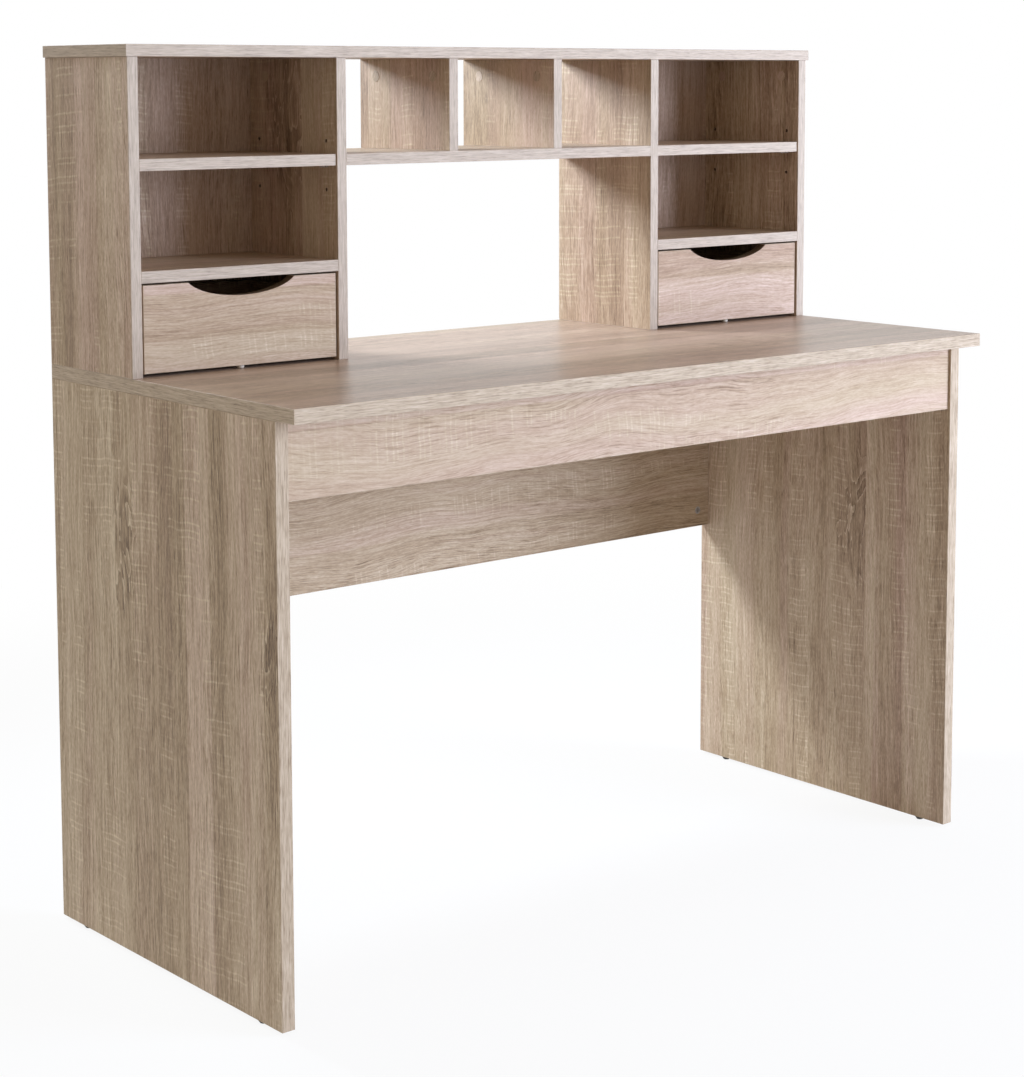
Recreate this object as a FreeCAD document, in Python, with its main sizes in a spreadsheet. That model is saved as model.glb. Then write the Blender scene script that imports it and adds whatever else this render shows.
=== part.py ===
"""Student desk with a hutch, as flat-pack boards, their fittings, two drawers and two shelves on pins.

Millimetres. The origin is on the floor at the middle of the whole desk, +Z up, the user's side at -Y.
Every board is a body whose lowest corner and extent are written in the words of the sheet. Joints between
boards are made by functions that drill both boards and set the fittings from the same places.
"""
import FreeCAD, Part
import os
import re
import Sketcher

SIZES = {
    # desk
    "desk_width": 1200,
    "desk_depth": 550,
    "desk_height": 740,
    "desk_board": 18,
    "side_setback": 38,
    "rail_board": 15,
    "apron_height": 95,
    "apron_setback": 4,
    "rear_panel_height": 337,
    # hutch
    "hutch_height": 410,
    "hutch_depth": 203,
    "hutch_board": 15,
    "top_overhang": 3,
    "side_bay_width": 297,
    "middle_cubby_width": 172,
    "middle_shelf_height": 270,
    "fixed_shelf_height": 132,
    "pin_shelf_height": 270,
    "pin_shelf_recess": 2,
    "pin_shelf_rear_gap": 2,
    "pin_shelf_end_gap": 1,
    "back_sheet": 3,
    "sheet_margin": 2,
    # rounding along the edges of boards and of thin sheets
    "board_rounding": 0.6,
    "sheet_rounding": 0.3,
    # drawers
    "drawer_recess": 2,
    "drawer_end_gap": 3,
    "drawer_top_gap": 2.5,
    "drawer_floor_gap": 4.5,
    "drawer_rear_gap": 8,
    "drawer_board": 12,
    "drawer_side_height": 90,
    "drawer_side_inset": 1,
    "drawer_sheet": 3,
    "groove_depth": 5,
    "groove_height": 8,
    "notch_width": 160,
    "notch_depth": 20,
    "notch_lift": 10,
    # clearances
    "fit_gap": 0.05,
    "sheet_gap": 0.1,
    "seat_gap": 0.3,
    "bore_end_gap": 0.5,
    # cam locks, their bolts and dowels
    "cam_diameter": 12,
    "cam_setback": 24,
    "cam_floor": 4,
    "cam_channel": 7.4,
    "cam_channel_back": 2.5,
    "cross_length": 7,
    "cross_width": 1.2,
    "cross_depth": 2,
    "cover_diameter": 15,
    "cover_thickness": 0.4,
    "bolt_thread": 5,
    "bolt_shaft": 7,
    "bolt_neck": 3.6,
    "bolt_head": 6.4,
    "bolt_neck_length": 4,
    "bolt_head_length": 3,
    "bolt_head_past": 1,
    "thread_depth": 8,
    "dowel_diameter": 8,
    "dowel_length": 30,
    "dowel_in_face": 8,
    "dowel_chamfer": 1,
    "slim_dowel_diameter": 6,
    "slim_dowel_length": 25,
    # screws and nails
    "screw_head": 10,
    "screw_shank": 7,
    "screw_core": 5,
    "screw_length": 50,
    "screw_socket": 4,
    "screw_socket_depth": 3,
    "slim_screw_head": 7,
    "slim_screw_shank": 4,
    "slim_screw_core": 3,
    "slim_screw_length": 35,
    "slim_screw_socket": 2.6,
    "slim_screw_socket_depth": 2,
    "nail_head": 3,
    "nail_shank": 1.4,
    "nail_length": 20,
    # feet and glides
    "foot_height": 5,
    "foot_rim": 1.5,
    "foot_top": 14,
    "foot_base": 9,
    "foot_nail": 2.2,
    "foot_nail_length": 14,
    "foot_inset": 52,
    "glide_top": 10,
    "glide_base": 8,
    "glide_rim": 3,
    "glide_nail": 1.8,
    "glide_nail_length": 12,
    "glide_rear_inset": 15,
    # shelf pins
    "pin_diameter": 5,
    "pin_depth": 9,
    "pin_tongue_length": 8,
    "pin_tongue_width": 8,
    "pin_tongue_thickness": 2.5,
    "pin_pitch": 32,
    "pin_front_inset": 25,
    "pin_rear_inset": 22,
    # places of the fittings
    "side_cam_inset": 60,
    "side_dowel_inset": 120,
    "rear_cam_inset": 26,
    "apron_fitting_inset": 30,
    "rail_dowel_pitch": 300,
    "hutch_fitting_inset": 37,
    "nail_inset": 40,
    "drawer_cam_height": 50,
    "drawer_dowel_inset": 18,
    "drawer_screw_inset": 18,
    "bottom_nail_spread": 60,
}

# Levels and planes that several pieces share, from the sizes.
DESK_FRONT = "-(desk_depth + back_sheet) / 2"
DESK_BACK = "(desk_depth - back_sheet) / 2"
SIDE_FRONT = f"{DESK_FRONT} + side_setback"
HALF_WIDTH = "desk_width / 2"
UNDERSIDE = "desk_height - desk_board"
HUTCH_FRONT = f"{DESK_BACK} - hutch_depth"
HUTCH_MIDDLE = f"{DESK_BACK} - hutch_depth / 2"
HUTCH_TOP = "desk_height + hutch_height"
TOP_BOARD_UNDERSIDE = f"{HUTCH_TOP} - hutch_board"
BAY_OUTSIDE = f"{HALF_WIDTH} - hutch_board"
BAY_INSIDE = f"{HALF_WIDTH} - hutch_board - side_bay_width"
CENTRE_BAY_HALF = f"{BAY_INSIDE} - hutch_board"
BAY_MIDDLE = f"{BAY_OUTSIDE} - side_bay_width / 2"
HUTCH_FITTINGS = [f"{HUTCH_FRONT} + hutch_fitting_inset", f"{DESK_BACK} - hutch_fitting_inset"]
PIN_ROW = "desk_height + pin_shelf_height - hutch_board - seat_gap"
DRAWER_FLOOR = "desk_height + drawer_floor_gap"
DRAWER_FRONT = f"{HUTCH_FRONT} + drawer_recess"
DRAWER_REAR = f"{DESK_BACK} - drawer_rear_gap"
FRONT_BACK_FACE = f"{DRAWER_FRONT} + hutch_board"
DRAWER_LENGTH = "hutch_depth - drawer_recess - hutch_board - drawer_rear_gap"
FRONT_WIDTH = "side_bay_width - 2 * drawer_end_gap"
FRONT_HEIGHT = "fixed_shelf_height - hutch_board - drawer_floor_gap - drawer_top_gap"
BOX_HALF = f"({FRONT_WIDTH}) / 2 - drawer_side_inset"

# Each face of a board: its sketch plane, the two axes of that sketch, the plane's offset for a board of
# that extent, whether a cut goes along the plane's normal, and the face's own axis and sign.
FACES = {
    "left": ("YZ_Plane", (1, 2), "0", True, 0, -1),
    "right": ("YZ_Plane", (1, 2), "{0}", False, 0, 1),
    "front": ("XZ_Plane", (0, 2), "0", False, 1, -1),
    "back": ("XZ_Plane", (0, 2), "-({1})", True, 1, 1),
    "bottom": ("XY_Plane", (0, 1), "0", True, 2, -1),
    "top": ("XY_Plane", (0, 1), "{2}", False, 2, 1),
}
SIDES = {"left": -1, "right": 1}
OPPOSITE = {"left": "right", "right": "left"}
AXES = [FreeCAD.Vector(1, 0, 0), FreeCAD.Vector(0, 1, 0), FreeCAD.Vector(0, 0, 1)]

document = FreeCAD.newDocument("student_desk_with_hutch")
sheet = document.addObject("Spreadsheet::Sheet", "Sizes")
for row, (word, value) in enumerate(SIZES.items(), 1):
    sheet.set(f"A{row}", word)
    sheet.set(f"B{row}", str(value))
    sheet.setAlias(f"B{row}", word)
document.recompute()

sub_parts = []
fittings = {}


def tied(text):
    """The expression with every size written as a cell of the sheet."""
    return re.sub(r"\b[a-z]+(?:_[a-z]+)+\b", r"Sizes.\g<0>", text)


def worth(holder, text):
    """What an expression comes to now."""
    return float(holder.evalExpression(tied(text)))


def mirrored(side, distance):
    """A place on the left (side -1) or the right (side 1), at a distance from the middle plane."""
    return f"{side} * ({distance})"


def low_edge(side, outer, width):
    """The lower X of a board whose outer face lies at that distance from the middle plane."""
    return f"-({outer})" if side < 0 else f"({outer}) - ({width})"


def sketch_on(body, plane, offset):
    """A sketch on one of the body's own origin planes, moved along the plane's normal."""
    sketch = body.newObject("Sketcher::SketchObject", f"{body.Name}_sketch")
    support = [feature for feature in body.Origin.OriginFeatures if feature.Role == plane]
    sketch.AttachmentSupport = [(support[0], "")]
    sketch.MapMode = "FlatFace"
    sketch.setExpression("AttachmentOffset.Base.z", tied(offset))
    return sketch


def hold(sketch, geometry, point, place):
    """Ties a point of the sketch to a place, a pair of expressions measured from the sketch's origin."""
    for kind, distance in zip(("DistanceX", "DistanceY"), place):
        now = worth(sketch, distance)
        number = sketch.addConstraint(Sketcher.Constraint(kind, -1, 1, geometry, point, now))
        sketch.setExpression(f"Constraints[{number}]", tied(distance))


def outline(sketch, corners):
    """A closed outline of straight lines through the corners."""
    places = [FreeCAD.Vector(worth(sketch, x), worth(sketch, y), 0) for x, y in corners]
    for start, end in zip(places, places[1:] + places[:1]):
        sketch.addGeometry(Part.LineSegment(start, end), False)
    for line, corner in enumerate(corners):
        sketch.addConstraint(Sketcher.Constraint("Coincident", line, 2, (line + 1) % len(corners), 1))
        hold(sketch, line, 1, corner)


def circles(sketch, centres, diameter):
    """Equal circles at the centres."""
    for number, centre in enumerate(centres):
        place = FreeCAD.Vector(worth(sketch, centre[0]), worth(sketch, centre[1]), 0)
        sketch.addGeometry(Part.Circle(place, AXES[2], worth(sketch, diameter) / 2), False)
        hold(sketch, number, 3, centre)
        if number:
            sketch.addConstraint(Sketcher.Constraint("Equal", 0, number))
        else:
            width = sketch.addConstraint(Sketcher.Constraint("Diameter", 0, worth(sketch, diameter)))
            sketch.setExpression(f"Constraints[{width}]", tied(diameter))


def cut_into(body, sketch, depth, along_normal):
    """A pocket of the sketch."""
    pocket = body.newObject("PartDesign::Pocket", f"{body.Name}_pocket")
    pocket.Profile = sketch
    pocket.Reversed = along_normal
    pocket.setExpression("Length", tied(depth))


class Board:
    """A rectangular board, drawn as its plan, padded to its height from its lowest corner and eased along
    all its edges."""

    def __init__(self, label, corner, extent, rounding="board_rounding"):
        self.corner = corner
        self.extent = extent
        self.body = document.addObject("PartDesign::Body", label)
        self.body.Label = label
        plan = sketch_on(self.body, "XY_Plane", "0")
        outline(plan, [("0", "0"), (extent[0], "0"), (extent[0], extent[1]), ("0", extent[1])])
        pad = self.body.newObject("PartDesign::Pad", f"{label}_pad")
        pad.Profile = plan
        pad.setExpression("Length", tied(extent[2]))
        eased = self.body.newObject("PartDesign::Fillet", f"{label}_rounding")
        eased.Base = (pad, [""])
        eased.UseAllEdges = True
        eased.setExpression("Radius", tied(rounding))
        for axis, place in zip("xyz", corner):
            self.body.setExpression(f"Placement.Base.{axis}", tied(place))
        sub_parts.append(self.body)

    def face_level(self, face):
        """Where the face lies along its own axis."""
        axis, sign = FACES[face][4:]
        return f"{self.corner[axis]} + ({self.extent[axis]})" if sign > 0 else self.corner[axis]

    def middle(self, axis):
        """The middle of the board along an axis."""
        return f"{self.corner[axis]} + ({self.extent[axis]}) / 2"

    def sketch(self, face):
        """A sketch that lies in the face."""
        plane, _, offset = FACES[face][:3]
        return sketch_on(self.body, plane, offset.format(*self.extent))

    def on_face(self, face, point):
        """A point of the object's frame as the face's sketch measures it."""
        return tuple(f"{point[axis]} - ({self.corner[axis]})" for axis in FACES[face][1])

    def bore(self, face, points, diameter, depth):
        """Round blind holes in the face, at points of the object's frame."""
        sketch = self.sketch(face)
        circles(sketch, [self.on_face(face, point) for point in points], diameter)
        cut_into(self.body, sketch, depth, FACES[face][3])

    def countersink(self, face, points, diameter, head):
        """Holes right through from the face, with a conical seat for a screw's head."""
        sketch = self.sketch(face)
        circles(sketch, [self.on_face(face, point) for point in points], diameter)
        document.recompute()
        hole = self.body.newObject("PartDesign::Hole", f"{self.body.Name}_holes")
        hole.Profile = sketch
        document.recompute()
        hole.ThreadType = "None"
        hole.DepthType = "ThroughAll"
        hole.Reversed = FACES[face][3]
        hole.HoleCutType = "Countersink"
        hole.HoleCutCustomValues = True
        hole.HoleCutCountersinkAngle = 90
        hole.setExpression("Diameter", tied(diameter))
        hole.setExpression("HoleCutDiameter", tied(head))

    def slot(self, face, low, high, depth):
        """A rectangular groove in the face, between two points of the object's frame."""
        sketch = self.sketch(face)
        (left, lower), (right, upper) = self.on_face(face, low), self.on_face(face, high)
        outline(sketch, [(left, lower), (right, lower), (right, upper), (left, upper)])
        cut_into(self.body, sketch, depth, FACES[face][3])


def turned(label, profile):
    """A round piece about its own Z axis. The profile's corners are radius and height."""
    body = document.addObject("PartDesign::Body", label)
    sketch = sketch_on(body, "XZ_Plane", "0")
    outline(sketch, profile)
    revolution = body.newObject("PartDesign::Revolution", f"{label}_revolution")
    revolution.Profile = sketch
    revolution.ReferenceAxis = (sketch, ["V_Axis"])
    revolution.Angle = 360
    return body


def cam(label, thickness):
    """A cam lock for a board of that thickness. Its face is at Z 0 and its channel opens along +X."""
    length = f"{thickness} / 2 + cam_floor"
    body = turned(label, [("0", "0"), ("cam_diameter / 2", "0"), ("cam_diameter / 2", f"-({length})"),
                          ("0", f"-({length})")])
    channel_top = f"({thickness} - cam_channel) / 2"
    channel = sketch_on(body, "XY_Plane", f"-{channel_top}")
    low, high, half = "-cam_channel_back", "cam_diameter / 2 + fit_gap", "cam_channel / 2"
    outline(channel, [(low, f"-{half}"), (high, f"-{half}"), (high, half), (low, half)])
    cut_into(body, channel, f"{length} - {channel_top}", False)
    cross = sketch_on(body, "XY_Plane", "0")
    arm, edge = "cross_length / 2", "cross_width / 2"
    quarter = [(arm, edge), (edge, edge), (edge, arm)]
    right = [(arm, f"-{edge}")] + quarter
    left = [(f"-{edge}", arm), (f"-{edge}", edge), (f"-{arm}", edge)]
    lower = [(f"-{arm}", f"-{edge}"), (f"-{edge}", f"-{edge}"), (f"-{edge}", f"-{arm}")]
    outline(cross, right + left + lower + [(edge, f"-{arm}"), (edge, f"-{edge}")])
    cut_into(body, cross, "cross_depth", False)
    return body


def cam_cover(label):
    """A thin round cover stuck over a cam lock, from the board's face at Z 0."""
    radius = "cover_diameter / 2"
    return turned(label, [("0", "0"), (radius, "0"), (radius, "cover_thickness"), ("0", "cover_thickness")])


def cam_bolt(label):
    """A bolt screwed into a board's face at Z 0, with its head held by a cam further along +Z."""
    thread, shaft, neck, head = (f"bolt_{name} / 2" for name in ("thread", "shaft", "neck", "head"))
    head_end = "cam_setback + bolt_head_past"
    head_start = f"{head_end} - bolt_head_length"
    neck_start = f"{head_start} - bolt_neck_length"
    return turned(label, [("0", "-thread_depth"), (thread, "-thread_depth"), (thread, "0"), (shaft, "0"),
                          (shaft, neck_start), (neck, neck_start), (neck, head_start), (head, head_start),
                          (head, head_end), ("0", head_end)])


def dowel(label, diameter, length):
    """A wooden dowel across a joint at Z 0, with the longer stretch along +Z."""
    low, high, radius = "-dowel_in_face", f"{length} - dowel_in_face", f"{diameter} / 2"
    narrow = f"{radius} - dowel_chamfer"
    return turned(label, [("0", low), (narrow, low), (radius, f"{low} + dowel_chamfer"),
                          (radius, f"{high} - dowel_chamfer"), (narrow, high), ("0", high)])


def screw(label, name, clamped):
    """A countersunk screw with its head's face at Z 0 and a hexagon socket. The shank fills the clamped
    board and the slimmer core goes on below it."""
    head, shank, core = f"{name}_head / 2", f"{name}_shank / 2", f"{name}_core / 2"
    body = turned(label, [("0", "0"), (head, "0"), (shank, f"{shank} - {head}"), (shank, f"-{clamped}"),
                          (core, f"-{clamped}"), (core, f"{core} - {name}_length"), ("0", f"-{name}_length")])
    socket = sketch_on(body, "XY_Plane", "0")
    reach, rise = f"{name}_socket / 2", f"{name}_socket * sqrt(3) / 2"
    outline(socket, [(f"{name}_socket", "0"), (reach, rise), (f"-{reach}", rise), (f"-{name}_socket", "0"),
                     (f"-{reach}", f"-{rise}"), (reach, f"-{rise}")])
    cut_into(body, socket, f"{name}_socket_depth", False)
    return body


def nail(label):
    """A countersunk nail with its head's face at Z 0."""
    head, shank = "nail_head / 2", "nail_shank / 2"
    return turned(label, [("0", "0"), (head, "0"), (shank, f"{shank} - {head}"),
                          (shank, f"{shank} - nail_length"), ("0", "-nail_length")])


def foot(label, name, height):
    """A glide under a board's edge at Z 0: a disc that narrows towards the ground, and its nail above."""
    base, top, spike = f"{name}_base / 2", f"{name}_top / 2", f"{name}_nail / 2"
    return turned(label, [("0", f"-({height})"), (base, f"-({height})"), (top, f"-{name}_rim"), (top, "0"),
                          (spike, "0"), (spike, f"{name}_nail_length"), ("0", f"{name}_nail_length")])


def shelf_pin(label):
    """A shelf pin in a hole that opens at Z 0. Its tongue stands out along +Z, with its flat top at X 0."""
    body = turned(label, [("0", "-pin_depth"), ("pin_diameter / 2", "-pin_depth"), ("pin_diameter / 2", "0"),
                          ("0", "0")])
    tongue = sketch_on(body, "XY_Plane", "0")
    low, half = "-pin_tongue_thickness", "pin_tongue_width / 2"
    outline(tongue, [(low, f"-{half}"), ("0", f"-{half}"), ("0", half), (low, half)])
    pad = body.newObject("PartDesign::Pad", f"{label}_tongue")
    pad.Profile = tongue
    pad.setExpression("Length", "Sizes.pin_tongue_length")
    return body


def add_fitting(group, master, point, outward, along):
    """Puts one more copy of a fitting in a group, its Z axis outward and its X axis along."""
    copy = document.addObject("App::Link", f"{group}_copy")
    copy.LinkedObject = master
    turn = FreeCAD.Rotation(along, outward.cross(along), outward, "ZXY")
    copy.Placement = FreeCAD.Placement(FreeCAD.Vector(), turn)
    for axis, place in zip("xyz", point):
        copy.setExpression(f"Placement.Base.{axis}", tied(place))
    fittings.setdefault(group, []).append(copy)


def butt_joint(face_board, face, edge_board, end, cam_face, cams, dowels, kit, slim=False):
    """Joins an end of one board to a face of another with cam locks and dowels, drilled in both.

    cams and dowels hold places along the joint. The cams sit in cam_face of the edge board. kit names the
    groups of fittings and gives the cam of that board's thickness. Returns the places of the cams' faces.
    """
    normal, sign = FACES[end][4:]
    across, cam_sign = FACES[cam_face][4:]
    run = 3 - normal - across
    inward, cam_outward = AXES[normal] * -sign, AXES[across] * cam_sign
    meeting = edge_board.face_level(end)
    thickness = edge_board.extent[across]

    def point(at_normal, at_across, at_run):
        place = [None, None, None]
        place[normal], place[across], place[run] = at_normal, at_across, at_run
        return place

    on_joint = [point(meeting, edge_board.middle(across), place) for place in cams]
    cam_level = f"{meeting} - {sign} * cam_setback"
    on_face = [point(cam_level, edge_board.face_level(cam_face), place) for place in cams]
    for bolt_place, cam_place in zip(on_joint, on_face):
        add_fitting(kit["bolts"], cam_bolt_master, bolt_place, inward, AXES[run])
        add_fitting(kit["cams"], kit["cam"], cam_place, cam_outward, AXES[normal] * sign)
    face_board.bore(face, on_joint, "bolt_thread + 2 * fit_gap", "thread_depth + bore_end_gap")
    edge_board.bore(end, on_joint, "bolt_shaft + 2 * fit_gap", "cam_setback")
    edge_board.bore(cam_face, on_face, "cam_diameter + 2 * fit_gap",
                    f"({thickness}) / 2 + cam_floor + fit_gap")

    size = "slim_dowel" if slim else "dowel"
    master = slim_dowel_master if slim else dowel_master
    dowel_places = [point(meeting, edge_board.middle(across), place) for place in dowels]
    for place in dowel_places:
        add_fitting(kit["dowels"], master, place, inward, AXES[run])
    face_board.bore(face, dowel_places, f"{size}_diameter + 2 * fit_gap", "dowel_in_face + bore_end_gap")
    edge_board.bore(end, dowel_places, f"{size}_diameter + 2 * fit_gap",
                    f"{size}_length - dowel_in_face + bore_end_gap")
    return on_face


def dowel_joint(face_board, face, edge_board, end, points, group):
    """Joins an end of one board to a face of another with dowels alone."""
    normal, sign = FACES[end][4:]
    for point in points:
        add_fitting(group, dowel_master, point, AXES[normal] * -sign, AXES[(normal + 1) % 3])
    face_board.bore(face, points, "dowel_diameter + 2 * fit_gap", "dowel_in_face + bore_end_gap")
    edge_board.bore(end, points, "dowel_diameter + 2 * fit_gap",
                    "dowel_length - dowel_in_face + bore_end_gap")


def screw_joint(clamped, face, held, end, points, master, group, name, clamp):
    """Screws or nails through one board, from its face, into the end of the next."""
    normal, sign = FACES[face][4:]
    for point in points:
        add_fitting(group, master, point, AXES[normal] * sign, AXES[(normal + 1) % 3])
    clamped.countersink(face, points, f"{name}_shank + 2 * fit_gap", f"{name}_head + 2 * fit_gap")
    core = "nail_shank" if name == "nail" else f"{name}_core"
    held.bore(end, points, f"{core} + 2 * fit_gap", f"{name}_length - {clamp} + bore_end_gap")


# Fittings that the groups repeat.
cam_bolt_master = cam_bolt("cam_bolt")
cam_cover_master = cam_cover("cam_cover")
dowel_master = dowel("wood_dowel", "dowel_diameter", "dowel_length")
slim_dowel_master = dowel("slim_wood_dowel", "slim_dowel_diameter", "slim_dowel_length")
connecting_screw = screw("connecting_screw", "screw", "hutch_board")
slim_screw = screw("slim_screw", "slim_screw", "drawer_board")
sheet_nail = nail("sheet_nail")
desk_foot = foot("desk_foot", "foot", "foot_height")
drawer_glide = foot("drawer_glide", "glide", "drawer_floor_gap - seat_gap")
pin_master = shelf_pin("shelf_pin")


def joint_kit(prefix, cam_master):
    """The groups that a joint's fittings go to, and the cam for that board."""
    return {"cams": f"{prefix}_cam_locks", "bolts": f"{prefix}_cam_bolts", "dowels": f"{prefix}_dowels",
            "cam": cam_master}


def make_desk():
    """Desktop, side panels, apron and rear panel, with their feet. Returns the desktop."""
    inner_width = "desk_width - 2 * desk_board"
    desktop = Board("desktop", (f"-{HALF_WIDTH}", DESK_FRONT, UNDERSIDE),
                    ("desk_width", "desk_depth", "desk_board"))
    apron = Board("front_apron",
                  (f"-({inner_width}) / 2", f"{SIDE_FRONT} + apron_setback", f"{UNDERSIDE} - apron_height"),
                  (inner_width, "rail_board", "apron_height"))
    rear_panel = Board("rear_panel",
                       (f"-({inner_width}) / 2", f"{DESK_BACK} - rail_board",
                        f"{UNDERSIDE} - rear_panel_height"),
                       (inner_width, "rail_board", "rear_panel_height"))
    panel_kit = joint_kit("desk", cam("desk_board_cam", "desk_board"))
    rail_kit = joint_kit("desk", cam("rail_board_cam", "rail_board"))
    rear_low, rear_high = f"{rear_panel.corner[2]} + rear_cam_inset", f"{UNDERSIDE} - rear_cam_inset"
    apron_low, apron_high = f"{apron.corner[2]} + apron_fitting_inset", f"{UNDERSIDE} - apron_fitting_inset"

    for name, side in SIDES.items():
        panel = Board(f"{name}_side_panel",
                      (low_edge(side, HALF_WIDTH, "desk_board"), SIDE_FRONT, "foot_height"),
                      ("desk_board", "desk_depth - side_setback", f"{UNDERSIDE} - foot_height"))
        inner_face = OPPOSITE[name]
        butt_joint(desktop, "bottom", panel, "top", inner_face,
                   [f"{SIDE_FRONT} + side_cam_inset", f"{DESK_BACK} - side_cam_inset"],
                   [f"{SIDE_FRONT} + side_dowel_inset", f"{DESK_BACK} - side_dowel_inset"], panel_kit)
        butt_joint(panel, inner_face, rear_panel, name, "front", [rear_low, rear_high],
                   [rear_panel.middle(2)], rail_kit)
        butt_joint(panel, inner_face, apron, name, "back", [apron_low], [apron_high], rail_kit)
        for end, level in (("front", f"{SIDE_FRONT} + foot_inset"), ("rear", f"{DESK_BACK} - foot_inset")):
            point = (panel.middle(0), level, "foot_height")
            panel.bore("bottom", [point], "foot_nail + 2 * fit_gap", "foot_nail_length + bore_end_gap")
            add_fitting(f"{end}_{name}_foot", desk_foot, point, AXES[2], AXES[0])

    pitches = [f"{step} * rail_dowel_pitch" for step in (-1, 0, 1)]
    for rail in (rear_panel, apron):
        dowel_joint(desktop, "bottom", rail, "top", [(x, rail.middle(1), UNDERSIDE) for x in pitches],
                    "desk_dowels")
    return desktop


def make_hutch(desktop):
    """Top board, uprights, dividers and fixed shelves, with the shelves on pins and the back sheets."""
    upright_extent = ("hutch_board", "hutch_depth", "hutch_height - hutch_board")
    shelf_corner = (f"-({CENTRE_BAY_HALF})", HUTCH_FRONT, "desk_height + middle_shelf_height - hutch_board")
    top_corner = (f"-({HALF_WIDTH} + top_overhang)", f"{HUTCH_FRONT} - top_overhang", TOP_BOARD_UNDERSIDE)
    top_board = Board("hutch_top", top_corner,
                      ("desk_width + 2 * top_overhang", "hutch_depth + top_overhang", "hutch_board"))
    middle_shelf = Board("middle_shelf", shelf_corner,
                         (f"2 * ({CENTRE_BAY_HALF})", "hutch_depth", "hutch_board"))
    hutch_kit = joint_kit("hutch", cam("hutch_board_cam", "hutch_board"))
    divider_foot = "desk_height + middle_shelf_height"
    fixed_corner = "desk_height + fixed_shelf_height - hutch_board"
    rows = [f"{PIN_ROW} + {step} * pin_pitch" for step in (-1, 0, 1)]
    pin_places = [f"{HUTCH_FRONT} + pin_front_inset", f"{DESK_BACK} - pin_rear_inset"]

    def drill_pin_holes(upright, face):
        points = [(upright.face_level(face), y, z) for y in pin_places for z in rows]
        upright.bore(face, points, "pin_diameter + 2 * fit_gap", "pin_depth + bore_end_gap")
        outward = AXES[0] * FACES[face][5]
        for y in pin_places:
            add_fitting("shelf_pins", pin_master, (upright.face_level(face), y, PIN_ROW), outward, AXES[2])

    for name, side in SIDES.items():
        outer = Board(f"hutch_{name}_outer_side",
                      (low_edge(side, HALF_WIDTH, "hutch_board"), HUTCH_FRONT, "desk_height"), upright_extent)
        inner = Board(f"hutch_{name}_inner_side",
                      (low_edge(side, BAY_INSIDE, "hutch_board"), HUTCH_FRONT, "desk_height"), upright_extent)
        divider = Board(f"{name}_cubby_divider",
                        (low_edge(side, "middle_cubby_width / 2 + hutch_board", "hutch_board"), HUTCH_FRONT,
                         divider_foot),
                        ("hutch_board", "hutch_depth", f"{TOP_BOARD_UNDERSIDE} - ({divider_foot})"))
        fixed_shelf = Board(f"{name}_fixed_shelf",
                            (low_edge(side, BAY_OUTSIDE, "side_bay_width"), HUTCH_FRONT, fixed_corner),
                            ("side_bay_width", "hutch_depth", "hutch_board"))
        shelf_width = "side_bay_width - 2 * pin_shelf_end_gap"
        Board(f"{name}_pin_shelf",
              (low_edge(side, f"{BAY_OUTSIDE} - pin_shelf_end_gap", shelf_width),
               f"{HUTCH_FRONT} + pin_shelf_recess", "desk_height + pin_shelf_height - hutch_board"),
              (shelf_width, "hutch_depth - pin_shelf_recess - pin_shelf_rear_gap", "hutch_board"))

        towards_middle, towards_end = OPPOSITE[name], name
        for upright, bay_face in ((outer, towards_middle), (inner, towards_end)):
            butt_joint(desktop, "top", upright, "bottom", bay_face, HUTCH_FITTINGS, [HUTCH_MIDDLE], hutch_kit)
            drill_pin_holes(upright, bay_face)
        butt_joint(outer, towards_middle, fixed_shelf, towards_end, "bottom", HUTCH_FITTINGS, [HUTCH_MIDDLE],
                   hutch_kit)
        butt_joint(inner, towards_end, fixed_shelf, towards_middle, "bottom", HUTCH_FITTINGS, [HUTCH_MIDDLE],
                   hutch_kit)
        butt_joint(inner, towards_middle, middle_shelf, towards_end, "bottom", HUTCH_FITTINGS, [HUTCH_MIDDLE],
                   hutch_kit)
        for upright, cam_face in ((outer, towards_middle), (inner, towards_end), (divider, "left")):
            cam_places = butt_joint(top_board, "bottom", upright, "top", cam_face, HUTCH_FITTINGS,
                                    [HUTCH_MIDDLE], hutch_kit)
            outward = AXES[0] * FACES[cam_face][5]
            for place in cam_places:
                add_fitting("hutch_cam_covers", cam_cover_master, place, outward, AXES[2])
        points = [(divider.middle(0), y, shelf_corner[2]) for y in HUTCH_FITTINGS]
        screw_joint(middle_shelf, "bottom", divider, "bottom", points, connecting_screw,
                    "hutch_connecting_screws", "screw", "hutch_board")
        make_back_sheet(name, side, {"outer": outer, "inner": inner, "top": top_board, "shelf": fixed_shelf})


def make_back_sheet(name, side, boards):
    """The thin sheet behind one side bay, nailed to the back edges of the boards round it."""
    width = "side_bay_width + 2 * hutch_board - 2 * sheet_margin"
    back_sheet = Board(f"{name}_back_sheet",
                       (low_edge(side, f"{HALF_WIDTH} - sheet_margin", width), DESK_BACK,
                        "desk_height + sheet_margin"),
                       (width, "back_sheet", "hutch_height - 2 * sheet_margin"), "sheet_rounding")
    behind = back_sheet.face_level("back")
    levels = ["desk_height + nail_inset", "desk_height + hutch_height / 2",
              f"{TOP_BOARD_UNDERSIDE} - nail_inset"]
    nailed = {key: [(boards[key].middle(0), behind, level) for level in levels] for key in ("outer", "inner")}
    bay_middle = mirrored(side, BAY_MIDDLE)
    nailed["top"] = [(bay_middle, behind, boards["top"].middle(2))]
    nailed["shelf"] = [(bay_middle, behind, boards["shelf"].middle(2))]
    for key, points in nailed.items():
        screw_joint(back_sheet, "back", boards[key], "back", points, sheet_nail, "back_sheet_nails", "nail",
                    "back_sheet")


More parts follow.
